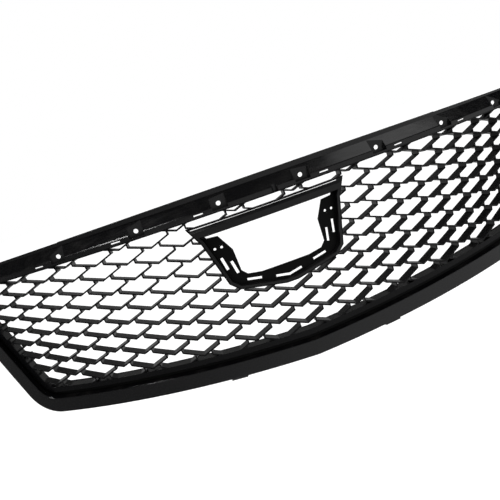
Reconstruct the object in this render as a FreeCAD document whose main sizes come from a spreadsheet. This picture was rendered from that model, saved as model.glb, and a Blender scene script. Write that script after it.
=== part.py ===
import math
import os
import FreeCAD

# The preset that FreeCAD reads as Part loads: how far boolean operations let faces differ. Ten
# times this value loses whole blocks of pieces as long and as thin as these.
BOOLEAN_PRESETS = "User parameter:BaseApp/Preferences/Mod/Part/Boolean"
FreeCAD.ParamGet(BOOLEAN_PRESETS).SetFloat("BooleanFuzzy", 1.0)
import Part
import Sketcher
from FreeCAD import Rotation, Vector

# Front grille of a passenger car.
# The frame: +X to the right of somebody who faces the grille, -Y out of its front, +Z up.
# The origin is midway between the two inner fixing holes of the upper rail, on the faces of
# their seats. Every long piece follows one bowed and raked skin: a cone about a bow axis that
# stands behind the grille and leans back a little. A depth is measured from that skin, square
# to it, and is positive towards the engine bay. Elevation means the view along +Y.

DIMENSIONS = {
    # the bowed skin
    "bow_radius": 772.0,          # from the skin to the bow axis, at the height of the holes
    "bow_tilt": 3.7,              # degrees the bow axis leans back
    "face_rake": 12.7,            # degrees the skin leans back at the centre
    "seat_depth": 10.0,           # from the skin back to the fixing seats
    # the opening that the lattice fills, in elevation
    "opening_drop": 193.5,        # from the holes down to the V at the bottom centre
    "opening_half": 375.0,        # half width where the side lines meet the bottom lines
    "bottom_rise": 2.3,           # degrees the bottom lines rise outwards
    "side_flare": 29.5,           # degrees the side lines lean outwards
    "corner_radius": 25.0,
    "outline_top": 60.0,          # the outlines run on up to here, past every piece
    # upper rail, a bent section
    "rail_drop": 8.5,             # from the holes down to the rail's lower edge
    "lip_height": 6.5,
    "lip_step": 2.0,
    "panel_rise": 15.0,
    "panel_setback": 13.0,
    "band_rise": 7.5,
    "return_depth": 8.0,
    "rail_wall": 2.5,
    "rail_crown_radius": 7350.0,  # the top edge's arc in elevation
    "rail_crown_cut": 0.5,        # what that arc takes off the band at the centre
    # rail fixings
    "fixing_pitch": 118.5,
    "fixing_hole": 6.6,
    "pocket_width": 22.0,
    "pocket_rise": 13.5,
    "pocket_wall": 2.0,
    "seat_wall": 2.5,
    "drain_width": 13.0,
    "drain_height": 2.6,
    "drain_offset": 31.0,
    "locator_offset": 18.0,
    "locator_radius": 4.0,
    "locator_height": 14.0,
    # lattice of V-bottomed cells
    "column_pitch": 37.0,
    "row_pitch": 22.6,
    "shoulder_share": 0.444,
    "leg_slope": 0.4,
    "lattice_wall": 2.0,
    "lattice_depth": 22.0,
    "draw_tilt": 6.0,             # degrees the walls of the cells fall towards the back
    "pattern_drop": 162.0,        # from the holes down to the point where a column of cells starts
    "column_spread": 0.00085,     # share by which the columns spread for each mm of height
    "crown_top": -0.005,          # bend of the rows at the rail, in mm for each mm*mm / 100
    "crown_bottom": 0.0086,       # bend of the rows at the bottom
    "mesh_rim": 7.0,
    "mesh_top_rim": 1.5,
    "smallest_gap": 14.0,         # openings under this area in mm*mm are moulded shut
    # tabs that hold the lattice to the rail
    "tab_width": 16.0,
    "boss_width": 12.0,
    "tab_wall": 3.0,
    "tab_rise": 7.0,
    "boss_depth": 7.0,
    # inner frame, seen as the dark border
    "border_width": 11.5,
    "frame_recess": 4.0,
    "frame_wall": 2.5,
    # surround moulding
    "trim_width": 19.0,
    "trim_proud": 10.0,
    "trim_wall": 2.5,
    "trim_lip": 2.5,
    "trim_lip_recess": 6.0,
    "trim_top": 12.0,             # from the holes up to the ends of the moulding
    "edge_gap": 0.5,
    # emblem seat: outline as half widths and drops below the holes
    "emblem_top_half": 110.0,
    "emblem_top_drop": 21.5,
    "emblem_waist_half": 98.0,
    "emblem_waist_drop": 43.0,
    "emblem_foot_half": 80.0,
    "emblem_foot_drop": 103.5,
    "emblem_toe_half": 69.0,
    "emblem_toe_drop": 113.0,
    "emblem_base_half": 8.0,
    "emblem_base_drop": 124.5,
    "seat_rim": 2.2,
    "bezel_wall": 3.0,
    "bezel_proud": 3.0,
    "flange_width": 8.0,
    "flange_wall": 2.5,
    "carrier_depth": 8.0,
    "carrier_wall": 4.0,
    # the clear opening inside the emblem carrier
    "arm_tip_half": 98.0,
    "arm_tip_drop": 39.0,
    "arm_shoulder_half": 75.0,
    "arm_shoulder_drop": 41.0,
    "clear_half": 61.5,
    "clear_drop": 64.0,
    "clear_low_half": 60.0,
    "clear_low_drop": 94.0,
    "clear_toe_half": 53.0,
    "clear_toe_drop": 101.0,
    "clear_base_half": 34.0,
    "clear_base_drop": 104.0,
    "bar_height": 11.5,
    "bar_proud": 6.0,
    "bar_slope": 4.0,             # the slope along the top of the bar, as high as it is deep
    "bar_fall": 4.5,              # from the bar's highest edge down to its back edge
    "bar_foot_width": 7.0,
    "bar_foot_height": 2.0,
    "bar_foot_inner": 12.0,
    "bar_foot_outer": 80.0,
    "pin_hole": 4.0,
    "pin_to_screw": 6.5,
    # self-tapping screws
    "screw_shank": 3.4,
    "screw_head": 7.0,
    "screw_head_height": 2.2,
    "screw_bite": 6.0,
    "screw_clearance": 0.3,
    "boss_diameter": 8.0,
    "small_shank": 2.4,
    "small_head": 5.0,
    "small_head_height": 1.6,
    "emblem_bite": 3.2,
    # shares of a screw's head: its straight side, its flat crown and its slot
    "head_side": 0.6,
    "head_crown": 0.35,
    "drive_length": 0.5,
    "drive_width": 0.12,
    # pin holes and slots of the emblem carrier
    "outer_pin_half": 84.5,
    "inner_pin_half": 75.0,
    "pin_drop": 56.5,
    "slot_width": 3.8,
    "slot_relief": 1.2,           # the flange behind a slot is cut this much wider
    "outer_slot_half": 78.5,
    "outer_slot_drop": 79.0,
    "inner_slot_half": 67.0,
    "inner_slot_drop": 87.0,
    "side_slot_length": 18.5,
    "side_slot_lean": 78.5,
    "toe_slot_half": 47.0,
    "toe_slot_drop": 109.3,
    "toe_slot_length": 20.0,
    "toe_slot_lean": 10.5,
    "base_slot_half": 8.7,
    "base_slot_drop": 117.4,
    "base_slot_length": 20.0,
    "base_slot_lean": 10.5,
    # retention clips under the lower edge
    "clip_width": 22.0,
    "clip_drop": 2.4,
    "clip_wall": 3.0,
    "clip_gap": 0.3,
    "clip_half": 110.0,
}

document = FreeCAD.newDocument("front_grille")
sheet = document.addObject("Spreadsheet::Sheet", "Dimensions")
for row, (alias, value) in enumerate(DIMENSIONS.items(), start=1):
    sheet.set("A%d" % row, alias)
    sheet.set("B%d" % row, repr(value))
    sheet.setAlias("B%d" % row, alias)
document.recompute()

REVOLVE_ANGLE = 110.0
PRISM_REACH = 700.0
PRECISION = 1e-4
XZ_PLANE = Rotation(Vector(1, 0, 0), 90)
YZ_PLANE = Rotation(Vector(1, 1, 1), 120)


def size(alias):
    """The value of one cell of the sheet."""
    return float(getattr(sheet, alias))


def named(expression):
    """Turn words that are aliases into references to the sheet."""
    word = ""
    text = ""
    for letter in expression + " ":
        if letter.isalnum() or letter == "_":
            word += letter
            continue
        text += "Dimensions." + word if word in DIMENSIONS else word
        text += letter
        word = ""
    return text.strip()


def evaluate(expression):
    """The value of an expression in the sheet's aliases, in millimetres."""
    result = sheet.evalExpression(named(expression))
    return float(getattr(result, "Value", result))


# ---- parametric building blocks ----

def hold_corners(sketch, corners):
    """Draw a closed outline in a sketch, every corner held by two expressions."""
    points = [Vector(evaluate(across), evaluate(up), 0) for across, up in corners]
    count = len(points)
    for k in range(count):
        sketch.addGeometry(Part.LineSegment(points[k], points[(k + 1) % count]), False)
    for k in range(count):
        sketch.addConstraint(Sketcher.Constraint("Coincident", k, 2, (k + 1) % count, 1))
    for k, (across, up) in enumerate(corners):
        held = (("DistanceX", across, points[k].x), ("DistanceY", up, points[k].y))
        for kind, expression, value in held:
            index = sketch.addConstraint(Sketcher.Constraint(kind, -1, 1, k, 1, value))
            sketch.setExpression("Constraints[%d]" % index, named(expression))


def polygon(name, plane, corners):
    """A closed sketch that stands in a plane through the origin."""
    sketch = document.addObject("Sketcher::SketchObject", name)
    sketch.Placement = FreeCAD.Placement(Vector(0, 0, 0), plane)
    hold_corners(sketch, corners)
    return sketch


def bound(kind, name, **expressions):
    """A Part object whose properties follow expressions in the sheet's aliases."""
    item = document.addObject(kind, name)
    for key, expression in expressions.items():
        item.setExpression(key.replace("__", "."), named(expression))
    return item


def box(name, across, depth, up, corner):
    """A box of three sizes with its lowest corner at three expressions."""
    return bound("Part::Box", name, Length=across, Width=depth, Height=up,
                 Placement__Base__x=corner[0], Placement__Base__y=corner[1],
                 Placement__Base__z=corner[2])


def cylinder_back(name, radius, length, start):
    """A cylinder whose axis runs along +Y from three expressions."""
    item = bound("Part::Cylinder", name, Radius=radius, Height=length,
                 Placement__Base__x=start[0], Placement__Base__y=start[1],
                 Placement__Base__z=start[2])
    item.Placement.Rotation = Rotation(Vector(1, 0, 0), -90)
    return item


def prism(name, outline):
    """An elevation outline taken through the grille along Y."""
    item = document.addObject("Part::Extrusion", name)
    item.Base = outline
    item.DirMode = "Custom"
    item.Dir = Vector(0, 1, 0)
    item.LengthFwd = PRISM_REACH
    item.LengthRev = PRISM_REACH
    item.Solid = True
    return item


def revolve(name, section):
    """A centre-plane section bent about the bow axis."""
    item = bound("Part::Revolution", name, Base__y="bow_radius - seat_depth",
                 Axis__y="sin(bow_tilt * 1deg)", Axis__z="cos(bow_tilt * 1deg)")
    item.Source = section
    item.Axis = Vector(0, 0, 1)
    item.Base = Vector(0, 0, 0)
    item.Angle = REVOLVE_ANGLE
    item.Symmetric = True
    item.Solid = True
    return item


def skin_at(height, depth):
    """The Y expression of a point at a height and a depth in the centre plane."""
    lean = "(%s) * tan(face_rake * 1deg)" % height
    back = "(%s) / cos(face_rake * 1deg)" % depth
    return "-seat_depth + %s + %s" % (lean, back)


def slab(name, front, back, low, high):
    """The bowed layer between two depths and two heights."""
    corners = [(skin_at(low, front), low), (skin_at(low, back), low),
               (skin_at(high, back), high), (skin_at(high, front), high)]
    return revolve(name, polygon(name + "_section", YZ_PLANE, corners))


def both(kind, name, base, tool):
    item = document.addObject(kind, name)
    item.Base = base
    item.Tool = tool
    return item


def common(name, base, tool):
    return both("Part::Common", name, base, tool)


def cut(name, base, tool):
    return both("Part::Cut", name, base, tool)


def fuse(name, pieces):
    item = document.addObject("Part::MultiFuse", name)
    item.Shapes = pieces
    item.Refine = True
    return item


def offset_outline(name, sketch, distance):
    """A parallel outline with round outer corners."""
    item = bound("Part::Offset2D", name, Value=distance)
    item.Source = sketch
    item.Join = "Arc"
    item.Mode = "Pipe"
    return item


# ---- placing on the bowed skin ----

def bow_rotation(angle):
    """The placement that turns a centre-plane piece about the bow axis."""
    tilt = math.radians(size("bow_tilt"))
    axis = Vector(0, math.sin(tilt), math.cos(tilt))
    centre = Vector(0, size("bow_radius") - size("seat_depth"), 0)
    return FreeCAD.Placement(Vector(0, 0, 0), Rotation(axis, angle), centre)


def on_skin(x, z, depth=0.0):
    """The placement of a piece whose +Y runs into the skin at an elevation point."""
    rake = math.radians(size("face_rake"))
    height = z
    angle = 0.0
    for _ in range(40):
        start = Vector(0, -size("seat_depth") + height * math.tan(rake), height)
        turned = bow_rotation(angle).multVec(start)
        angle += math.degrees((x - turned.x) / size("bow_radius"))
        height += z - turned.z
    inward = Vector(0, math.cos(rake), -math.sin(rake))
    local = FreeCAD.Placement(start + inward * depth, Rotation(Vector(1, 0, 0), -size("face_rake")))
    return bow_rotation(angle).multiply(local)


# ---- outlines in elevation ----

def mirrored(right_half):
    """Close an outline from its right half, given from the top centre to the bottom centre."""
    beside = [corner for corner in right_half if corner[0] != "0"]
    return right_half + [("-(%s)" % across, up) for across, up in reversed(beside)]


def opening_outline():
    """The opening moved inwards by its corner radius, so that an outward offset rounds it."""
    spread = "(1 + sin((side_flare + bottom_rise) * 1deg))"
    corner_height = "(-opening_drop + opening_half * tan(bottom_rise * 1deg))"
    top_half = ("opening_half + (outline_top - %s) * tan(side_flare * 1deg)"
                " - corner_radius / cos(side_flare * 1deg)" % corner_height)
    corner_half = ("opening_half - corner_radius * (cos(side_flare * 1deg)"
                   " + sin(bottom_rise * 1deg)) / %s" % spread)
    corner_up = ("%s + corner_radius * (sin(side_flare * 1deg)"
                 " + cos(bottom_rise * 1deg)) / %s" % (corner_height, spread))
    lowest = "-opening_drop + corner_radius / cos(bottom_rise * 1deg)"
    right_half = [(top_half, "outline_top"), (corner_half, corner_up), ("0", lowest)]
    return polygon("opening_sketch", XZ_PLANE, mirrored(right_half))


def border(name, gap):
    """The opening's outline moved outwards by a gap."""
    return offset_outline(name, opening, "corner_radius + %s" % gap)


def border_layer(name, inner, outer, front, back, high):
    """A band round the opening, between two gaps, two depths and one height."""
    ring = cut(name + "_ring", prism(name + "_outer", border(name + "_outer_edge", outer)),
               prism(name + "_inner", border(name + "_inner_edge", inner)))
    low = "-opening_drop - 2 * (border_width + trim_width + trim_lip)"
    return common(name, ring, slab(name + "_slab", front, back, low, high))


opening = opening_outline()

emblem_outline = polygon("emblem_sketch", XZ_PLANE, mirrored([
    ("emblem_top_half", "-emblem_top_drop"),
    ("emblem_waist_half", "-emblem_waist_drop"),
    ("emblem_foot_half", "-emblem_foot_drop"),
    ("emblem_toe_half", "-emblem_toe_drop"),
    ("emblem_base_half", "-emblem_base_drop"),
]))

clear_outline = polygon("clear_sketch", XZ_PLANE, mirrored([
    ("emblem_top_half", "-emblem_top_drop"),
    ("emblem_top_half", "-arm_tip_drop"),
    ("arm_tip_half", "-arm_tip_drop"),
    ("arm_shoulder_half", "-arm_shoulder_drop"),
    ("clear_half", "-clear_drop"),
    ("clear_low_half", "-clear_low_drop"),
    ("clear_toe_half", "-clear_toe_drop"),
    ("clear_base_half", "-clear_base_drop"),
]))


# ---- screws: one of each kind is a body, and each group is made of copies of it ----

def screw_body(name, shank, head, head_height, length):
    """A pan-head screw along +Y, its head behind the XZ plane and its tip at -length."""
    body = document.addObject("PartDesign::Body", name)
    sketch = body.newObject("Sketcher::SketchObject", name + "_profile")
    plane = [item for item in body.Origin.OriginFeatures if item.Role == "XY_Plane"][0]
    sketch.AttachmentSupport = [(plane, "")]
    sketch.MapMode = "FlatFace"
    corners = [("0", "-(%s)" % length), ("%s / 4" % shank, "-(%s)" % length),
               ("%s / 2" % shank, "-(%s) + %s / 2" % (length, shank)),
               ("%s / 2" % shank, "0"), ("%s / 2" % head, "0"),
               ("%s / 2" % head, "%s * head_side" % head_height),
               ("%s * head_crown" % head, head_height), ("0", head_height)]
    hold_corners(sketch, corners)
    document.recompute()
    turned = body.newObject("PartDesign::Revolution", name + "_turned")
    turned.Profile = sketch
    turned.ReferenceAxis = (sketch, ["V_Axis"])
    turned.Angle = 360.0
    document.recompute()
    drive = body.newObject("PartDesign::SubtractiveBox", name + "_drive")
    drive.setExpression("Length", named("%s * drive_length" % head))
    drive.setExpression("Width", named(head_height))
    drive.setExpression("Height", named("%s * drive_width" % head))
    drive.setExpression("Placement.Base.x", named("-%s * drive_length / 2" % head))
    drive.setExpression("Placement.Base.y", named("%s / 2" % head_height))
    drive.setExpression("Placement.Base.z", named("-%s * drive_width / 2" % head))
    document.recompute()
    return body


def group(label, pieces):
    """One sub-part made of several separate solids."""
    item = document.addObject("Part::Feature", label)
    item.Shape = pieces[0] if len(pieces) == 1 else Part.makeCompound(pieces)
    return item


def copies(label, body, places):
    """Copies of one body at several placements, as one group of separate solids."""
    shapes = []
    for place in places:
        shape = body.Shape.copy()
        shape.Placement = place
        shapes.append(shape)
    return group(label, shapes)


# ---- where things are fixed ----

fixing_stations = [(k + 0.5) * size("fixing_pitch") * side for k in range(4) for side in (-1, 1)]
tab_stations = [k * size("fixing_pitch") for k in range(-3, 4)]


def bow_turn(across):
    """The turn about the bow axis that brings a centre-plane piece to a distance across."""
    return bow_rotation(math.degrees(math.asin(across / size("bow_radius"))))


def bottom_line(across, gap):
    """The height of the opening's bottom line moved outwards by a gap."""
    rise = math.radians(size("bottom_rise"))
    return -size("opening_drop") + abs(across) * math.tan(rise) - gap / math.cos(rise)


def side_line(up, gap):
    """The half width of the opening's side line moved outwards by a gap."""
    rise = math.radians(size("bottom_rise"))
    flare = math.radians(size("side_flare"))
    corner_up = -size("opening_drop") + size("opening_half") * math.tan(rise)
    return size("opening_half") + (up - corner_up) * math.tan(flare) + gap / math.cos(flare)


def around_border(gap, bottom_shares, side_shares):
    """Elevation points along the bottom and both sides, at a gap from the opening."""
    points = []
    for side in (-1, 1):
        for share in bottom_shares:
            across = side * share * size("opening_half")
            points.append((across, bottom_line(across, gap)))
        for share in side_shares:
            up = -share * size("opening_drop")
            points.append((side * side_line(up, gap), up))
    return points


# ---- upper rail ----

RAIL_FOOT = skin_at("-rail_drop", "0")
LIP_TOP = "(-rail_drop + lip_height)"
STEP_BACK = "(%s + lip_step)" % RAIL_FOOT
PANEL_TOP = "(%s + lip_step / 2 + panel_rise)" % LIP_TOP
PANEL_BACK = "(%s + panel_setback)" % STEP_BACK
BAND_TOP = "(%s + band_rise)" % PANEL_TOP

rail_front = [(RAIL_FOOT, "-rail_drop"), (RAIL_FOOT, LIP_TOP),
              (STEP_BACK, "%s + lip_step / 2" % LIP_TOP), (PANEL_BACK, PANEL_TOP),
              (PANEL_BACK, BAND_TOP), ("%s + return_depth" % PANEL_BACK, BAND_TOP)]
rail_back = [("%s + return_depth" % PANEL_BACK, "%s - rail_wall" % BAND_TOP),
             ("%s + rail_wall" % PANEL_BACK, "%s - rail_wall" % BAND_TOP),
             ("%s + rail_wall" % PANEL_BACK, "%s - rail_wall / 3" % PANEL_TOP),
             ("%s + rail_wall" % STEP_BACK, "%s + lip_step / 2 - rail_wall / 3" % LIP_TOP),
             ("%s + rail_wall" % RAIL_FOOT, "%s - rail_wall / 3" % LIP_TOP),
             ("%s + rail_wall" % RAIL_FOOT, "-rail_drop")]
envelope_back = "%s + pocket_width + return_depth" % PANEL_BACK

rail_sheet = revolve("rail_sheet", polygon("rail_section", YZ_PLANE, rail_front + rail_back))
envelope = revolve("rail_envelope", polygon(
    "envelope_section", YZ_PLANE,
    rail_front[:5] + [(envelope_back, BAND_TOP), (envelope_back, "-rail_drop")]))

added = []
removed = []
for number, across in enumerate(fixing_stations, start=1):
    middle = bow_turn(across).multVec(Vector(0, -size("seat_depth"), 0))
    x, y, z = "%.6f" % across, "%.6f" % middle.y, "%.6f" % middle.z
    outside = "(pocket_width + 2 * pocket_wall)"
    added.append(box(
        "pocket_block_%d" % number, outside, "seat_depth * 3 + seat_wall",
        "rail_drop + pocket_rise + pocket_wall * 2",
        ("%s - %s / 2" % (x, outside), "%s - seat_depth * 2" % y,
         "%s - rail_drop - pocket_wall" % z)))
    removed.append(box(
        "pocket_space_%d" % number, "pocket_width", "seat_depth * 5",
        "rail_drop - pocket_wall + pocket_rise",
        ("%s - pocket_width / 2" % x, "%s - seat_depth * 4" % y,
         "%s - rail_drop + pocket_wall" % z)))
    removed.append(cylinder_back(
        "fixing_hole_%d" % number, "fixing_hole / 2", "seat_wall * 4",
        (x, "%s + seat_depth - seat_wall" % y, z)))
    drain_across = across + math.copysign(size("drain_offset"), across)
    drain = bow_turn(drain_across).multVec(Vector(0, evaluate(RAIL_FOOT), 0))
    removed.append(box(
        "drain_%d" % number, "drain_width", "seat_depth * 3", "drain_height",
        ("%.6f - drain_width / 2" % drain_across, "%.6f - seat_depth" % drain.y,
         "%.6f - rail_drop + (lip_height - drain_height) / 2" % drain.z)))

locator_foot = bow_turn(size("locator_offset")).multVec(Vector(0, evaluate(RAIL_FOOT), 0))
for kind, radius, pieces in (("wall", "locator_radius + pocket_wall", added),
                             ("space", "locator_radius", removed)):
    pieces.append(bound("Part::Cylinder", "locator_" + kind, Radius=radius,
                        Height="locator_height + pocket_wall",
                        Placement__Base__x="locator_offset",
                        Placement__Base__y="%.6f" % locator_foot.y,
                        Placement__Base__z="-rail_drop - pocket_wall"))

blocks = fuse("rail_blocks", [common(item.Label + "_inside", item, envelope) for item in added])
document.recompute()
if len(blocks.Shape.Solids) != len(added):
    raise RuntimeError("the rail has lost a pocket")

bosses = []
boss_holes = []
tab_front = evaluate("%s + rail_wall + boss_depth" % RAIL_FOOT)
screw_height = evaluate("-rail_drop + tab_rise / 2")
for number, across in enumerate(tab_stations, start=1):
    turn = bow_turn(across)
    boss = bound("Part::Box", "boss_%d" % number, Length="boss_width",
                 Width="boss_depth + rail_wall / 2", Height="tab_rise - edge_gap")
    corner = Vector(-size("boss_width") / 2,
                    tab_front - size("boss_depth") - size("rail_wall") / 2,
                    -size("rail_drop") + size("edge_gap"))
    boss.Placement = turn.multiply(FreeCAD.Placement(corner, Rotation()))
    bosses.append(boss)
    hole = bound("Part::Cylinder", "boss_hole_%d" % number, Radius="screw_shank / 2",
                 Height="screw_bite * 2")
    start = Vector(0, tab_front - size("screw_bite"), screw_height)
    hole.Placement = turn.multiply(FreeCAD.Placement(start, Rotation(Vector(1, 0, 0), -90)))
    boss_holes.append(hole)

rail_body = fuse("rail_body", [rail_sheet, blocks] + bosses)
rail_open = cut("rail_open", rail_body, fuse("rail_removed", removed + boss_holes))
rail_trimmed = common("rail_trimmed", rail_open,
                      prism("rail_ends", border("rail_ends_edge", "border_width - edge_gap")))
crown = bound("Part::Cylinder", "rail_crown", Radius="rail_crown_radius",
              Height="4 * opening_half", Placement__Base__y="-2 * opening_half",
              Placement__Base__z="%s - rail_crown_cut - rail_crown_radius" % BAND_TOP)
crown.Placement.Rotation = Rotation(Vector(1, 0, 0), -90)
upper_rail = common("upper_rail", rail_trimmed, crown)


# ---- inner frame and surround moulding ----

def covered(label, layers):
    """A moulding made of layers that share faces."""
    return fuse(label, [border_layer("%s_%d" % (label, number), *layer)
                        for number, layer in enumerate(layers, start=1)])


UNDER_RAIL = "-rail_drop"
FRAME_BACK = "(lattice_depth + frame_wall)"
FRAME_OUT = "(border_width + trim_width - edge_gap)"
DRAW_FALL = "(lattice_depth * tan(draw_tilt * 1deg))"
TRIM_OUT = "(border_width + trim_width)"
frame_shell = covered("frame_shell", [
    ("mesh_rim", FRAME_OUT, "frame_recess", "frame_recess + frame_wall", UNDER_RAIL),
    ("mesh_rim", "mesh_rim + frame_wall", "frame_recess", FRAME_BACK, UNDER_RAIL),
    (DRAW_FALL, "mesh_rim + frame_wall", "lattice_depth", FRAME_BACK, UNDER_RAIL),
])
trim_shell = covered("trim_shell", [
    ("border_width", TRIM_OUT, "-trim_proud", "-trim_proud + trim_wall", "trim_top"),
    ("border_width", "border_width + trim_wall", "-trim_proud", "frame_recess", "trim_top"),
    ("%s - trim_wall" % TRIM_OUT, TRIM_OUT, "-trim_proud", "frame_recess", "trim_top"),
    (TRIM_OUT, "%s + trim_lip" % TRIM_OUT, "-trim_proud + trim_lip_recess", "frame_recess",
     "trim_top"),
])
document.recompute()

TRIM_BOTTOM_SHARES = (0.16, 0.42, 0.68, 0.88)
TRIM_SIDE_SHARES = (0.62, 0.36, 0.12)
RIM_BOTTOM_SHARES = (0.08, 0.34, 0.6, 0.84)
RIM_SIDE_SHARES = (0.66, 0.4, 0.14)
rim_points = around_border((size("mesh_rim") + evaluate(DRAW_FALL)) / 2,
                           RIM_BOTTOM_SHARES, RIM_SIDE_SHARES)
trim_points = around_border(size("border_width") + size("trim_width") / 2,
                            TRIM_BOTTOM_SHARES, TRIM_SIDE_SHARES)
rim_places = [on_skin(x, z, size("lattice_depth") + size("frame_wall")) for x, z in rim_points]
trim_places = [on_skin(x, z, size("frame_recess") + size("frame_wall")) for x, z in trim_points]


def pins(places, radius, start, length):
    """Cylinders along each place's own Y, from a start and of one length."""
    pieces = []
    for place in places:
        pin = Part.makeCylinder(radius, length, Vector(0, start, 0), Vector(0, 1, 0))
        pin.Placement = place
        pieces.append(pin)
    return Part.makeCompound(pieces)


def shaped(label, shape):
    """A sub-part whose last cuts lie square to the bowed skin."""
    item = document.addObject("Part::Feature", label)
    item.Shape = shape
    return item


clear = size("screw_clearance")
through = 3 * size("frame_wall")
frame_holes = Part.makeCompound([
    pins(rim_places, size("small_shank") / 2 + clear / 2, -through, 2 * through),
    pins(trim_places, size("screw_shank") / 2 + clear, -through, 2 * through)])
inner_frame = shaped("inner_frame", frame_shell.Shape.cut(frame_holes))

boss_length = size("trim_proud") + size("frame_recess") - size("trim_wall") / 2
boss_start = -size("frame_wall") - boss_length
trim_bosses = pins(trim_places, size("boss_diameter") / 2, boss_start, boss_length)
trim_pilots = pins(trim_places, size("screw_shank") / 2,
                   -size("frame_wall") - size("screw_bite"), 2 * size("screw_bite"))
surround_moulding = shaped("surround_moulding",
                           trim_shell.Shape.fuse(trim_bosses).removeSplitter().cut(trim_pilots))


# ---- emblem group ----

EMBLEM_LOW = "-emblem_base_drop - 2 * flange_width"
CARRIER_BACK = "(carrier_depth + carrier_wall)"
FLANGE_BACK = "(%s + flange_wall)" % CARRIER_BACK
BAR_FOOT = "(-emblem_top_drop - bar_height)"


def emblem_prism(name, inwards):
    """The emblem outline moved inwards and taken through the grille."""
    edge = offset_outline(name + "_edge", emblem_outline, "-(%s)" % inwards)
    edge.Join = "Intersection"
    return prism(name, edge)


def emblem_layer(name, base, front, back, high="0", low=EMBLEM_LOW):
    return common(name, base, slab(name + "_slab", front, back, low, high))


shield = prism("shield", emblem_outline)
BAR_BACK_TOP = "(-emblem_top_drop - bar_fall)"
bar_section = polygon("bar_section", YZ_PLANE, [
    (skin_at(BAR_FOOT, "-bar_proud"), BAR_FOOT), (skin_at(BAR_FOOT, CARRIER_BACK), BAR_FOOT),
    (skin_at(BAR_BACK_TOP, CARRIER_BACK), BAR_BACK_TOP),
    (skin_at("-emblem_top_drop", "bar_slope - bar_proud"), "-emblem_top_drop"),
    (skin_at("(-emblem_top_drop - bar_slope)", "-bar_proud"), "-emblem_top_drop - bar_slope")])
bar_block = common("bar_block", shield, revolve("bar_sweep", bar_section))
bar_feet = []
for across in ("-bar_foot_outer", "-bar_foot_inner", "bar_foot_inner", "bar_foot_outer"):
    bar_feet.append(box("bar_foot", "bar_foot_width", "carrier_depth", "bar_foot_height * 2",
                        ("%s - bar_foot_width / 2" % across,
                         skin_at(BAR_FOOT, "bar_proud / 2"), "%s - bar_foot_height" % BAR_FOOT)))
bar_shell = fuse("bar_shell", [bar_block] + bar_feet)

wall_ring = cut("bezel_wall_ring", shield, emblem_prism("bezel_inside", "bezel_wall"))
flange_ring = cut("flange_ring", shield, emblem_prism("flange_inside", "flange_width"))
bezel_whole = fuse("bezel_whole", [
    emblem_layer("bezel_wall_layer", wall_ring, "-bezel_proud", CARRIER_BACK, high=BAR_FOOT),
    emblem_layer("flange_layer", flange_ring, CARRIER_BACK, FLANGE_BACK, high=BAR_FOOT),
    emblem_layer("bar_seat", shield, CARRIER_BACK, FLANGE_BACK, high=BAR_BACK_TOP,
                 low="%s - flange_width / 2" % BAR_FOOT)])

carrier_plate = emblem_layer(
    "carrier_plate", cut("carrier_ring", emblem_prism("carrier_outside", "bezel_wall"),
                         prism("clear_space", clear_outline)),
    "carrier_depth", CARRIER_BACK)


def slot_box(kind, form, side, relief):
    """A slot through the carrier, or the wider window behind it in the flange."""
    half_long = size("%s_slot_length" % form) / 2 + relief
    half_wide = size("slot_width") / 2 + relief
    slot = bound("Part::Box", "%s_slot" % kind, Length="%s_slot_length + 2 * %s" % (form, relief),
                 Width="seat_depth * 6", Height="slot_width + 2 * %s" % relief)
    centre = Vector(side * size("%s_slot_half" % kind), -3 * size("seat_depth"),
                    -size("%s_slot_drop" % kind))
    lean = Rotation(Vector(0, 1, 0), -size("%s_slot_lean" % form) * side)
    slot.Placement = FreeCAD.Placement(centre, lean).multiply(
        FreeCAD.Placement(Vector(-half_long, 0, -half_wide), Rotation()))
    return slot


carrier_openings = []
flange_windows = []
for side in (-1, 1):
    for kind in ("outer", "inner"):
        carrier_openings.append(cylinder_back(
            "%s_pin_hole" % kind, "pin_hole / 2", "seat_depth * 6",
            ("%d * %s_pin_half" % (side, kind), "-seat_depth * 3", "-pin_drop")))
        flange_windows.append(cylinder_back(
            "%s_pin_window" % kind, "pin_hole / 2 + slot_relief", "seat_depth * 6",
            ("%d * %s_pin_half" % (side, kind), "-seat_depth * 3", "-pin_drop")))
    for kind, form in (("outer", "side"), ("inner", "side"), ("toe", "toe"), ("base", "base")):
        carrier_openings.append(slot_box(kind, form, side, 0))
        flange_windows.append(slot_box(kind, form, side, size("slot_relief")))
carrier_shell = cut("carrier_shell", carrier_plate, fuse("carrier_removed", carrier_openings))
bezel_shell = cut("bezel_shell", bezel_whole, fuse("flange_removed", flange_windows))
document.recompute()


def emblem_side(up, inwards):
    """The half width of the emblem outline's long side, moved inwards."""
    run = size("emblem_waist_half") - size("emblem_foot_half")
    fall = size("emblem_foot_drop") - size("emblem_waist_drop")
    half = size("emblem_waist_half") - (-up - size("emblem_waist_drop")) * run / fall
    return half - inwards * math.hypot(run, fall) / fall


def emblem_bottom(across, inwards):
    """The height of the emblem outline's bottom side, moved inwards."""
    run = size("emblem_toe_half") - size("emblem_base_half")
    fall = size("emblem_base_drop") - size("emblem_toe_drop")
    height = -size("emblem_base_drop") + (abs(across) - size("emblem_base_half")) * fall / run
    return height + inwards * math.hypot(run, fall) / run


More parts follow.
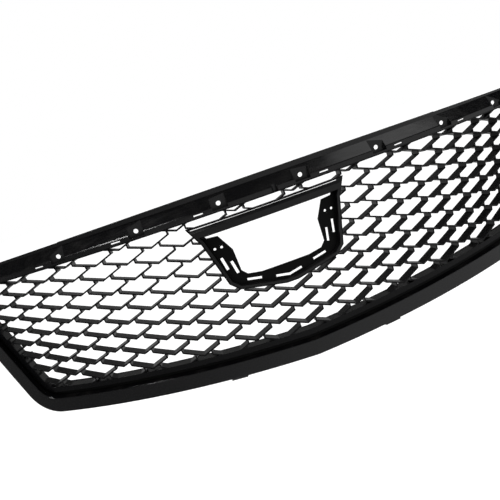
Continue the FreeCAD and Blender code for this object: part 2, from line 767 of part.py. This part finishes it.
land = (size("bezel_wall") + size("flange_width")) / 2
bar_screw_up = (evaluate(BAR_BACK_TOP) + evaluate(BAR_FOOT)) / 2
side_screw_up = -size("pin_drop") - size("pin_to_screw")
bottom_screw_across = (size("base_slot_half") + size("toe_slot_half")) / 2
bar_places = []
carrier_places = []
for side in (-1, 1):
    bar_places.append((side * size("emblem_top_half") / 2, bar_screw_up))
    carrier_places.append((side * emblem_side(side_screw_up, land), side_screw_up))
    carrier_places.append((side * bottom_screw_across, emblem_bottom(bottom_screw_across, land)))
emblem_back = evaluate(FLANGE_BACK)
bar_places = [on_skin(x, z, emblem_back) for x, z in bar_places]
carrier_places = [on_skin(x, z, emblem_back) for x, z in carrier_places]
emblem_depth = size("flange_wall") + size("emblem_bite")
emblem_pilots = pins(bar_places + carrier_places, size("small_shank") / 2,
                     -emblem_depth, emblem_depth)
flange_holes = pins(bar_places + carrier_places, size("small_shank") / 2 + clear / 2,
                    -size("flange_wall") - clear, size("flange_wall") + 2 * clear)
emblem_top_bar = shaped("emblem_top_bar", bar_shell.Shape.cut(emblem_pilots))
emblem_bezel = shaped("emblem_bezel", bezel_shell.Shape.cut(flange_holes))
emblem_carrier = shaped("emblem_carrier", carrier_shell.Shape.cut(emblem_pilots))


# ---- lattice of V-bottomed cells ----

def cell_corners():
    """One cell above its own point: two legs, two walls and the undersides of its neighbours."""
    pitch = size("column_pitch")
    row = size("row_pitch")
    half = pitch / (1 + size("shoulder_share"))
    rise = size("leg_slope") * half
    wall = row / 2 + rise * (pitch - half) / half - rise
    shoulder = pitch - half
    side = [(half, rise), (half, rise + wall), (shoulder, row / 2 + rise),
            (shoulder, row / 2 + rise + wall)]
    return [(0, 0)] + side + [(0, row)] + [(-across, up) for across, up in reversed(side)]


def moved_in(corners, distance):
    """A counter-clockwise outline with every side moved inwards."""
    moved = []
    count = len(corners)
    for k, (across, up) in enumerate(corners):
        before = corners[k - 1]
        after = corners[(k + 1) % count]
        normals = []
        for start, end in ((before, (across, up)), ((across, up), after)):
            run, fall = end[0] - start[0], end[1] - start[1]
            length = math.hypot(run, fall)
            normals.append((-fall / length, run / length))
        (ax, ay), (bx, by) = normals
        scale = distance / (1 + ax * bx + ay * by)
        moved.append((across + (ax + bx) * scale, up + (ay + by) * scale))
    return moved


def spread(across, up):
    """A point of the even pattern moved to its place in the real, spreading pattern."""
    rows_up = up / (size("row_pitch") / 2)
    share = (rows_up + ROWS_BELOW) / (ROWS_BELOW + ROWS_ABOVE)
    wide = across * (1 + size("column_spread") * up)
    crown = size("crown_top") * share + size("crown_bottom") * (1 - share)
    return Vector(wide, 0, up + crown * wide * wide / 100 - size("pattern_drop"))


ROWS_BELOW = 4
ROWS_ABOVE = 12
SPARE = 2
ARC_POINTS = 6


def drawn(across, up):
    """A point of the skin, given in elevation, moved along the draw direction to the XZ plane."""
    fall = math.tan(math.radians(size("draw_tilt")))
    return Vector(across, 0, up + on_skin(across, up).Base.y * fall)


def drawn_wire(wire):
    """An outline in elevation, moved along the draw direction."""
    runs = []
    for edge in wire.OrderedEdges:
        straight = edge.Curve.TypeId == "Part::GeomLine"
        runs.append(edge.discretize(2 if straight else ARC_POINTS))
    corners = []
    for k, run in enumerate(runs):
        following = runs[(k + 1) % len(runs)]
        gaps = [run[0].distanceToPoint(following[0]), run[0].distanceToPoint(following[-1])]
        if min(gaps) < PRECISION:
            run.reverse()
        corners += run[:-1]
    moved = [drawn(point.x, point.z) for point in corners]
    return Part.makePolygon(moved + moved[:1])


def rail_edge(height):
    """Points along a level line of the skin, in elevation."""
    step = 4
    points = []
    for angle in range(-44, 45, step):
        start = Vector(0, -size("seat_depth") + height * math.tan(math.radians(
            size("face_rake"))), height)
        turned = bow_rotation(angle).multVec(start)
        points.append(Vector(turned.x, 0, turned.z))
    return points


def lattice_openings():
    """The outline of every opening of the lattice, in elevation."""
    rounded = Part.Face(opening.Shape).makeOffset2D(size("corner_radius"), 0)
    top = rail_edge(-size("rail_drop") - size("mesh_top_rim"))
    low = -2 * size("opening_drop")
    under = Part.Face(Part.makePolygon(
        top + [Vector(top[-1].x, 0, low), Vector(top[0].x, 0, low), top[0]]))
    rimmed = Part.Face(emblem_outline.Shape).makeOffset2D(size("seat_rim"), 2)
    region = rounded.common(under).cut(rimmed)
    outline = moved_in(cell_corners(), size("lattice_wall") / 2)
    columns = int(size("opening_half") / size("column_pitch")) + 3
    half_row = size("row_pitch") / 2
    found = []
    for column in range(-columns, columns + 1):
        for row in range(-ROWS_ABOVE - SPARE, ROWS_BELOW + SPARE + 1):
            if (row - column) % 2:
                continue
            corners = [spread(column * size("column_pitch") + across, up - half_row * row)
                       for across, up in outline]
            whole = Part.Face(Part.makePolygon(corners + corners[:1]))
            kept = whole.common(region)
            found += [face for face in kept.Faces if face.Area > size("smallest_gap")]
    return found


openings = lattice_openings()
mesh_face = Part.Face(opening.Shape).makeOffset2D(size("corner_radius") + size("mesh_rim"), 0)
reach = 2 * size("opening_half")
sheet_half = Part.makePolygon([Vector(across, 0, up) for across, up in (
    (-reach, -reach), (reach, -reach), (reach, reach), (-reach, reach), (-reach, -reach))])
sheet_face = Part.makeFace([sheet_half] + [drawn_wire(face.OuterWire) for face in openings],
                           "Part::FaceMakerBullseye")
back_fall = Vector(0, 1, -math.tan(math.radians(size("draw_tilt"))))
sheet_face.translate(back_fall * (-reach / 2))
walls = sheet_face.extrude(back_fall * reach)
outside = Part.makeFace([mesh_face.OuterWire, emblem_outline.Shape], "Part::FaceMakerBullseye")
outside.translate(Vector(0, -reach / 2, 0))
lattice_slab = slab("lattice_slab", "0", "lattice_depth", "-opening_drop * 2", UNDER_RAIL)
document.recompute()
lattice = outside.extrude(Vector(0, reach, 0)).common(lattice_slab.Shape).common(walls)

tabs = []
for across in tab_stations:
    foot = size("rail_drop") + size("mesh_top_rim")
    tab = Part.makeBox(size("tab_width"), size("tab_wall"), size("tab_rise") + size("mesh_top_rim"),
                       Vector(-size("tab_width") / 2, tab_front, -foot))
    hole = Part.makeCylinder(size("screw_shank") / 2 + clear, size("tab_wall"),
                             Vector(0, tab_front, screw_height), Vector(0, 1, 0))
    tab = tab.cut(hole)
    tab.Placement = bow_turn(across)
    tabs.append(tab)
rim_pilots = pins(rim_places, size("small_shank") / 2,
                  -size("frame_wall") - size("screw_bite"), 2 * size("screw_bite"))
mesh_panel = shaped("mesh_panel", lattice.cut(rim_pilots).fuse(tabs))


# ---- screws and clips ----

rail_screw = screw_body("rail_screw", "screw_shank", "screw_head", "screw_head_height",
                        "tab_wall + screw_bite")
trim_screw = screw_body("trim_screw", "screw_shank", "screw_head", "screw_head_height",
                        "frame_wall + screw_bite")
rim_screw = screw_body("rim_screw", "small_shank", "small_head", "small_head_height",
                       "frame_wall + screw_bite")
emblem_screw = screw_body("emblem_screw", "small_shank", "small_head", "small_head_height",
                          "flange_wall + emblem_bite")

clip = document.addObject("PartDesign::Body", "clip")
clip_profile = clip.newObject("Sketcher::SketchObject", "clip_profile")
side_plane = [item for item in clip.Origin.OriginFeatures if item.Role == "YZ_Plane"][0]
clip_profile.AttachmentSupport = [(side_plane, "")]
clip_profile.MapMode = "FlatFace"
LIP_FRONT = "(-trim_proud + trim_lip_recess)"
hold_corners(clip_profile, [
    ("%s + clip_gap" % LIP_FRONT, "-clip_drop - clip_gap"),
    ("frame_recess + clip_wall + clip_gap", "-clip_drop - clip_gap"),
    ("frame_recess + clip_wall + clip_gap", "trim_lip"),
    ("frame_recess + clip_gap", "trim_lip"),
    ("frame_recess + clip_gap", "-clip_gap"),
    ("%s + clip_gap" % LIP_FRONT, "-clip_gap")])
clip_pad = clip.newObject("PartDesign::Pad", "clip_pad")
clip_pad.Profile = clip_profile
clip_pad.Midplane = True
clip_pad.setExpression("Length", named("clip_width"))
document.recompute()

tab_places = [bow_turn(across).multiply(
    FreeCAD.Placement(Vector(0, tab_front + size("tab_wall"), screw_height), Rotation()))
    for across in tab_stations]
clip_edge = evaluate("%s + trim_lip" % TRIM_OUT)
clip_places = []
for side in (-1, 1):
    across = side * size("clip_half")
    lean = Rotation(Vector(0, 1, 0), math.copysign(size("bottom_rise"), -across))
    clip_places.append(on_skin(across, bottom_line(across, clip_edge)).multiply(
        FreeCAD.Placement(Vector(0, 0, 0), lean)))

sub_parts = [
    upper_rail, mesh_panel, inner_frame, surround_moulding,
    emblem_top_bar, emblem_bezel, emblem_carrier,
    copies("rail_screws", rail_screw, tab_places),
    copies("surround_screws", trim_screw, trim_places),
    copies("frame_screws", rim_screw, rim_places),
    copies("emblem_screws", emblem_screw, bar_places + carrier_places),
    copies("lower_clips", clip, clip_places),
]

# The pieces stand on the bow's own centre plane so far. They move until the middle of the inner
# fixing seats is the origin.
BOW_SHARE = "(1 - sqrt(1 - (fixing_pitch / 2 / bow_radius)^2))"
HOME_BACK = "-bow_radius * %s * cos(bow_tilt * 1deg)^2" % BOW_SHARE
HOME_UP = "bow_radius * %s * sin(bow_tilt * 1deg) * cos(bow_tilt * 1deg)" % BOW_SHARE
for item in sub_parts:
    item.setExpression("Placement.Base.y", named(HOME_BACK))
    item.setExpression("Placement.Base.z", named(HOME_UP))
document.recompute()

# ---- checks and export ----

for item in document.Objects:
    if "Invalid" in item.State or "Error" in item.State:
        raise RuntimeError("%s failed: %s" % (item.Label, item.getStatusString()))
for item in sub_parts:
    if item.Shape.isNull() or not item.Shape.isValid():
        raise RuntimeError("%s has no valid shape" % item.Label)
    solids = item.Shape.Solids
    print("%-18s %2d solids  %8.0f mm3" % (item.Label, len(solids), item.Shape.Volume))

os.makedirs("parts", exist_ok=True)
for item in sub_parts:
    item.Shape.exportStep("parts/%s.step" % item.Label)
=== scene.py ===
# %% [markdown]
# # A front grille in black moulded plastic
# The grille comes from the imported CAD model: a bowed lattice, the fixing rail above it, a frame and
# a surround moulding round it, and the seat of an emblem. Blender adds what a drawing lacks, which
# is the look of each plastic, the lamps, the floor and the camera.

# %% The frame and its size
import math

import bpy
from mathutils import Matrix, Vector


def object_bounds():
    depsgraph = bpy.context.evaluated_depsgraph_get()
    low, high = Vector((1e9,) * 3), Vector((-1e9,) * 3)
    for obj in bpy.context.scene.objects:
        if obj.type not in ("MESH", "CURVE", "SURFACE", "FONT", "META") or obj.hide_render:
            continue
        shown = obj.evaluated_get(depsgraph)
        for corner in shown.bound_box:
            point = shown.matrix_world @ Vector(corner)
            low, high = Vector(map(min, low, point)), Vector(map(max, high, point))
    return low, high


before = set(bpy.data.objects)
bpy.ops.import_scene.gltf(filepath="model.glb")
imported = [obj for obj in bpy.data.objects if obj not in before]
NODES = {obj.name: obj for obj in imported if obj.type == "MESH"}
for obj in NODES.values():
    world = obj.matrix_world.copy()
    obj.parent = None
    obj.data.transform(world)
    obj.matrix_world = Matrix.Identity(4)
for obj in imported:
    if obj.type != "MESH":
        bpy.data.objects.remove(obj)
CAD_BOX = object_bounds()
MM = 0.001
WIDTH, DEPTH, HEIGHT = (high - low for low, high in zip(*CAD_BOX))
print("nodes:", ", ".join(sorted(NODES)))
print("the grille is %.0f x %.0f x %.0f mm" % (WIDTH / MM, DEPTH / MM, HEIGHT / MM))

# %% [markdown]
# ## Colours and nodes
# A paint chart or a colour picker gives a colour as a hex value in sRGB, but a shader works in linear
# light. One function turns the first into the second, so that each colour below can be
# read on any screen. A second small function adds a node, sets its sockets and links its inputs.
# It keeps each material short enough to read as a recipe.

# %% Hex colours to linear light
def linear(hex_colour):
    """An sRGB hex colour as linear red, green, blue and alpha."""
    channels = [int(hex_colour[k:k + 2], 16) / 255 for k in (1, 3, 5)]
    return [c / 12.92 if c <= 0.04045 else ((c + 0.055) / 1.055) ** 2.4 for c in channels] + [1.0]


print("mid grey in linear light:", round(linear("#808080")[0], 3))


# %% One function that adds a node
def add_node(tree, kind, settings=None, **inputs):
    """A node with its settings; an input takes a value or another node's output."""
    node = tree.nodes.new(kind)
    for key, value in (settings or {}).items():
        setattr(node, key, value)
    for key, value in inputs.items():
        socket = node.inputs[int(key[1:]) if key[1:].isdigit() else key.replace("_", " ")]
        if isinstance(value, bpy.types.NodeSocket):
            tree.links.new(value, socket)
        else:
            socket.default_value = value
    return node


print("helpers: linear, add_node")


# %% [markdown]
# ## Moulded plastics
# Every large piece is ABS, injection moulded in a polished steel tool. Polished ABS is not a mirror:
# the skin has a faint waviness, called orange peel, a little dust on what faces up, and corners
# with a small radius where light gathers into a thin line. A painted texture could draw those,
# but noise at the size of the real thing and a shading bevel follow any shape, so each plastic here
# is one recipe with other numbers.

# %% The recipe for moulded plastic
def moulded_plastic(name, colour, roughness, peel, grain, edge, streak=0.0, coat=0.0, shine=0.5):
    """Black moulded plastic.

    Peel and grain are the heights of its waves in metres, and edge is a corner radius. Streak
    is how much the flow lines change the roughness, coat is a polished skin, and shine is the
    strength of the reflection that faces the viewer, lower on textured plastic.
    """
    material = bpy.data.materials.new(name)
    material.use_nodes = True
    tree = material.node_tree
    tree.nodes.clear()
    place = add_node(tree, "ShaderNodeTexCoord").outputs["Object"]
    wave = add_node(tree, "ShaderNodeTexNoise", Vector=place, Scale=1 / PEEL_WAVE, Detail=2.0)
    speck = add_node(tree, "ShaderNodeTexNoise", Vector=place, Scale=1 / GRAIN_WIDTH, Detail=3.0)
    drawn = add_node(tree, "ShaderNodeMapping", Vector=place,
                     Scale=(FLOW_BANDS_ALONG, 1 / FLOW_WIDTH, 1 / FLOW_WIDTH))
    flow = add_node(tree, "ShaderNodeTexNoise", Vector=drawn.outputs["Vector"], Scale=1.0, Detail=4.0)
    cloud = add_node(tree, "ShaderNodeTexNoise", Vector=place, Scale=1 / DUST_PATCH, Detail=5.0)
    facing = add_node(tree, "ShaderNodeNewGeometry").outputs["Normal"]
    upward = add_node(tree, "ShaderNodeSeparateXYZ", Vector=facing).outputs["Z"]
    top = add_node(tree, "ShaderNodeMapRange", Value=upward, From_Min=0.3, From_Max=1.0)
    patch = add_node(tree, "ShaderNodeMapRange", Value=cloud.outputs["Fac"], From_Min=0.45,
                     From_Max=0.75)
    dust = add_node(tree, "ShaderNodeMath", {"operation": "MULTIPLY"},
                    _0=top.outputs["Result"], _1=patch.outputs["Result"])
    thin_dust = add_node(tree, "ShaderNodeMath", {"operation": "MULTIPLY"},
                         _0=dust.outputs["Value"], _1=DUST_SHARE)
    tint = add_node(tree, "ShaderNodeMix", {"data_type": "RGBA"},
                    Factor=thin_dust.outputs["Value"])
    tint.inputs[6].default_value = linear(colour)
    tint.inputs[7].default_value = linear(DUST_COLOUR)
    lined = add_node(tree, "ShaderNodeMapRange", Value=flow.outputs["Fac"], From_Min=0.35,
                     From_Max=0.65, To_Min=-streak, To_Max=streak)
    mottle = add_node(tree, "ShaderNodeMapRange", Value=cloud.outputs["Fac"], From_Min=0.3,
                      From_Max=0.7, To_Min=-MOTTLE, To_Max=MOTTLE * 1.5)
    rough = add_node(tree, "ShaderNodeMath", {"operation": "ADD"},
                     _0=lined.outputs["Result"], _1=mottle.outputs["Result"])
    rough = add_node(tree, "ShaderNodeMath", {"operation": "ADD"},
                     _0=rough.outputs["Value"], _1=roughness)
    round_edge = add_node(tree, "ShaderNodeBevel", {"samples": 6}, Radius=edge)
    peeled = add_node(tree, "ShaderNodeBump", Height=wave.outputs["Fac"], Distance=peel,
                      Strength=1.0, Normal=round_edge.outputs["Normal"])
    grained = add_node(tree, "ShaderNodeBump", Height=speck.outputs["Fac"], Distance=grain,
                       Strength=1.0, Normal=peeled.outputs["Normal"])
    shader = add_node(tree, "ShaderNodeBsdfPrincipled", Base_Color=tint.outputs[2],
                      Roughness=rough.outputs["Value"], IOR=ABS_IOR,
                      Normal=grained.outputs["Normal"])
    shader.inputs["Specular IOR Level"].default_value = shine
    shader.inputs["Coat Weight"].default_value = coat
    shader.inputs["Coat Roughness"].default_value = COAT_ROUGHNESS
    add_node(tree, "ShaderNodeOutputMaterial", Surface=shader.outputs["BSDF"])
    return material


ABS_IOR = 1.54
COAT_ROUGHNESS = 0.05
MOTTLE = 0.02
FLOW_BANDS_ALONG = 3.0
PEEL_WAVE = 6 * MM
GRAIN_WIDTH = 0.4 * MM
FLOW_WIDTH = 5 * MM
DUST_PATCH = 25 * MM
DUST_COLOUR = "#8c8880"
DUST_SHARE = 0.02
gloss_abs = moulded_plastic("gloss_black_abs", "#050506", 0.12, 0.02 * MM, 0.0, 1.6 * MM,
                            coat=0.3)
lattice_abs = moulded_plastic("lattice_black_abs", "#060607", 0.26, 0.03 * MM, 0.0, 0.5 * MM,
                              shine=0.22)
rail_abs = moulded_plastic("rail_black_abs", "#070708", 0.2, 0.03 * MM, 0.0, 0.8 * MM,
                           streak=0.05)
satin_abs = moulded_plastic("satin_black_abs", "#040404", 0.42, 0.02 * MM, 0.01 * MM, 0.4 * MM,
                            shine=0.15)
emblem_abs = moulded_plastic("emblem_black_abs", "#09090a", 0.3, 0.03 * MM, 0.0, 0.4 * MM)
acetal = moulded_plastic("black_acetal", "#0b0b0b", 0.38, 0.02 * MM, 0.01 * MM, 0.3 * MM)
print("plastics:", gloss_abs.name, lattice_abs.name, rail_abs.name, satin_abs.name, emblem_abs.name)


# %% [markdown]
# ## Zinc-plated screws
# The screws are steel, zinc plated and black passivated. That is a metal with a dark, slightly
# cloudy skin, so its colour goes in the base colour of a metallic shader and its roughness
# varies in small patches.

# %% Black passivated zinc
def passivated_zinc():
    material = bpy.data.materials.new("black_passivated_zinc")
    material.use_nodes = True
    tree = material.node_tree
    tree.nodes.clear()
    place = add_node(tree, "ShaderNodeTexCoord").outputs["Object"]
    cloud = add_node(tree, "ShaderNodeTexNoise", Vector=place, Scale=1 / ZINC_PATCH, Detail=4.0)
    tint = add_node(tree, "ShaderNodeMix", {"data_type": "RGBA"}, Factor=cloud.outputs["Fac"])
    tint.inputs[6].default_value = linear("#3a3a3c")
    tint.inputs[7].default_value = linear("#5b5a5e")
    rough = add_node(tree, "ShaderNodeMapRange", Value=cloud.outputs["Fac"], From_Min=0.3,
                     From_Max=0.7, To_Min=0.3, To_Max=0.5)
    round_edge = add_node(tree, "ShaderNodeBevel", {"samples": 4}, Radius=0.2 * MM)
    shader = add_node(tree, "ShaderNodeBsdfPrincipled", Base_Color=tint.outputs[2],
                      Metallic=1.0, Roughness=rough.outputs["Result"], Normal=round_edge.outputs["Normal"])
    add_node(tree, "ShaderNodeOutputMaterial", Surface=shader.outputs["BSDF"])
    return material


ZINC_PATCH = 1.5 * MM
screw_zinc = passivated_zinc()
print("metal:", screw_zinc.name)

# %% [markdown]
# ## Each piece gets its finish
# The shapes stay as the CAD made them. Only the material in each slot changes.

# %% Finishes by node
FINISHES = {
    "upper_rail": rail_abs,
    "mesh_panel": lattice_abs,
    "inner_frame": satin_abs,
    "surround_moulding": gloss_abs,
    "emblem_top_bar": emblem_abs,
    "emblem_bezel": emblem_abs,
    "emblem_carrier": satin_abs,
    "rail_screws": screw_zinc,
    "surround_screws": screw_zinc,
    "frame_screws": screw_zinc,
    "emblem_screws": screw_zinc,
    "lower_clips": acetal,
}
for name, finish in FINISHES.items():
    for slot in NODES[name].material_slots:
        slot.material = finish
    print("%-18s %s" % (name, finish.name))


# %% [markdown]
# ## Floor and daylight
# A part like this is shown on white paper in a dim room, so that the gloss stays black. The floor
# is a plain pale sheet well below the grille. The sky is white to the camera, and lights the floor
# until it is as white. What the gloss mirrors is darker: a room in front that brightens to the
# right and darkens upwards, and a glow behind, near the horizon, which draws the walls of the
# lattice. A picture wrapped round the scene could do this, but a few soft steps by direction are
# easier to set one at a time.

# %% The floor
FLOOR_DROP = 350 * MM
FLOOR_HALF = 9.0
floor_mesh = bpy.data.meshes.new("studio_floor")
floor_height = CAD_BOX[0][2] - FLOOR_DROP
floor_mesh.from_pydata([(x * FLOOR_HALF, y * FLOOR_HALF, floor_height)
                        for x, y in ((-1, -1), (1, -1), (1, 1), (-1, 1))], [], [(0, 1, 2, 3)])
floor = bpy.data.objects.new("studio_floor", floor_mesh)
bpy.context.collection.objects.link(floor)
floor.visible_glossy = False
paper = bpy.data.materials.new("pale_paper")
paper.use_nodes = True
sheet = paper.node_tree
grain = add_node(sheet, "ShaderNodeTexNoise", Scale=40.0, Detail=3.0)
nap = add_node(sheet, "ShaderNodeMapRange", Value=grain.outputs["Fac"], From_Min=0.3,
               From_Max=0.7, To_Min=0.9, To_Max=0.95)
sheet.links.new(nap.outputs["Result"], sheet.nodes["Principled BSDF"].inputs["Roughness"])
sheet.nodes["Principled BSDF"].inputs["Base Color"].default_value = linear("#fcfcfc")
floor_mesh.materials.append(paper)
print("the floor lies %.0f mm below the grille" % (FLOOR_DROP / MM))

# %% The sky
def studio_sky():
    """White paper to the camera, white fill for the paper, and a dim studio for the gloss."""
    world = bpy.data.worlds.new("studio_sky")
    world.use_nodes = True
    tree = world.node_tree
    tree.nodes.clear()
    towards = add_node(tree, "ShaderNodeTexCoord").outputs["Generated"]
    axes = add_node(tree, "ShaderNodeSeparateXYZ", Vector=towards).outputs
    soft = {"interpolation_type": "SMOOTHSTEP"}
    glow = add_node(tree, "ShaderNodeMapRange", soft, Value=axes["Z"], From_Min=-0.1,
                    From_Max=0.3, To_Min=GLOW_AT_HORIZON, To_Max=0.0)
    across = add_node(tree, "ShaderNodeMapRange", soft, Value=axes["X"], From_Min=-1.0,
                      From_Max=1.0, To_Min=ROOM_LEFT, To_Max=ROOM_RIGHT)
    upwards = add_node(tree, "ShaderNodeMapRange", soft, Value=axes["Z"], From_Min=0.1,
                       From_Max=0.7, To_Min=1.0, To_Max=ROOM_ABOVE)
    room = add_node(tree, "ShaderNodeMath", {"operation": "MULTIPLY"},
                    _0=across.outputs["Result"], _1=upwards.outputs["Result"])
    behind = add_node(tree, "ShaderNodeMapRange", soft, Value=axes["Y"], From_Min=-0.3,
                      From_Max=0.3)
    dim = add_node(tree, "ShaderNodeMix", {"data_type": "FLOAT"}, _0=behind.outputs["Result"],
                   _2=room.outputs[0], _3=glow.outputs["Result"])
    gloss = add_node(tree, "ShaderNodeBackground", Strength=dim.outputs[0])
    gloss.inputs["Color"].default_value = linear("#ffffff")
    fill = add_node(tree, "ShaderNodeBackground", Strength=PAPER_FILL)
    fill.inputs["Color"].default_value = linear("#ffffff")
    paper_white = add_node(tree, "ShaderNodeBackground", Strength=1.0)
    paper_white.inputs["Color"].default_value = linear("#ffffff")
    ray = add_node(tree, "ShaderNodeLightPath").outputs
    lit = add_node(tree, "ShaderNodeMixShader", _0=ray["Is Glossy Ray"], _1=fill.outputs[0],
                   _2=gloss.outputs[0])
    seen = add_node(tree, "ShaderNodeMixShader", _0=ray["Is Camera Ray"], _1=lit.outputs[0],
                    _2=paper_white.outputs[0])
    add_node(tree, "ShaderNodeOutputWorld", Surface=seen.outputs[0])
    return world


GLOW_AT_HORIZON = 0.36
ROOM_LEFT = 0.14
ROOM_RIGHT = 0.5
ROOM_ABOVE = 0.06
PAPER_FILL = 1.2
bpy.context.scene.world = studio_sky()
print("sky:", bpy.context.scene.world.name)


# %% [markdown]
# ## Lamps
# Black gloss shows its lamps more than its own colour. A square softbox above, at the right,
# greys the rail's leaning panels on that side. A small one above and behind, at the left, draws
# light lines along the edges that face up. A long narrow one in front, below, lifts the lower
# edges. Area lamps are used because their shape shows in the gloss.

# %% Softboxes
def softbox(name, place, target, width, height, power):
    """A rectangular lamp that points at a target and that the camera can't see."""
    lamp = bpy.data.lights.new(name, "AREA")
    lamp.shape = "RECTANGLE"
    lamp.size = width
    lamp.size_y = height
    lamp.energy = power
    item = bpy.data.objects.new(name, lamp)
    aim = (Vector(target) - Vector(place)).to_track_quat("-Z", "Y")
    item.matrix_world = Matrix.Translation(place) @ aim.to_matrix().to_4x4()
    bpy.context.collection.objects.link(item)
    item.visible_camera = False
    print("%-14s %4.1f W" % (name, power))
    return item


softbox("overhead_right", (1.0, -0.2, 1.0), (0.2, 0, 0), 0.8, 0.8, 1.9)
softbox("key_left", (-0.6, 0.5, 1.2), (-0.2, 0, 0), 0.3, 0.3, 8.0)
softbox("low_strip", (-0.3, -1.4, -0.55), (0, 0, 0), 1.4, 0.05, 1.6)

# %% [markdown]
# ## Camera
# The camera stands a little left of the middle and above, looks slightly down, and is rolled so
# that the bowed grille runs uphill across the frame.

# %% The camera
CAMERA_PLACE = Vector((-0.0958, -0.8082, 0.0995))
CAMERA_AZIMUTH = math.radians(4.02)
CAMERA_DROP = math.radians(12.21)
CAMERA_ROLL = math.radians(-18.81)
FOCAL_LENGTH = 43.2
ahead = Vector((math.sin(CAMERA_AZIMUTH) * math.cos(CAMERA_DROP),
                math.cos(CAMERA_AZIMUTH) * math.cos(CAMERA_DROP), -math.sin(CAMERA_DROP)))
lens = bpy.data.cameras.new("studio_camera")
lens.sensor_width = 36.0
lens.lens = FOCAL_LENGTH
lens.clip_start = 0.01
camera = bpy.data.objects.new("studio_camera", lens)
bpy.context.collection.objects.link(camera)
level = ahead.to_track_quat("-Z", "Y").to_matrix().to_4x4()
camera.matrix_world = Matrix.Translation(CAMERA_PLACE) @ level @ Matrix.Rotation(CAMERA_ROLL, 4, "Z")
bpy.context.scene.camera = camera
bpy.context.scene.view_settings.view_transform = "Standard"
print("camera at", [round(c, 3) for c in CAMERA_PLACE])
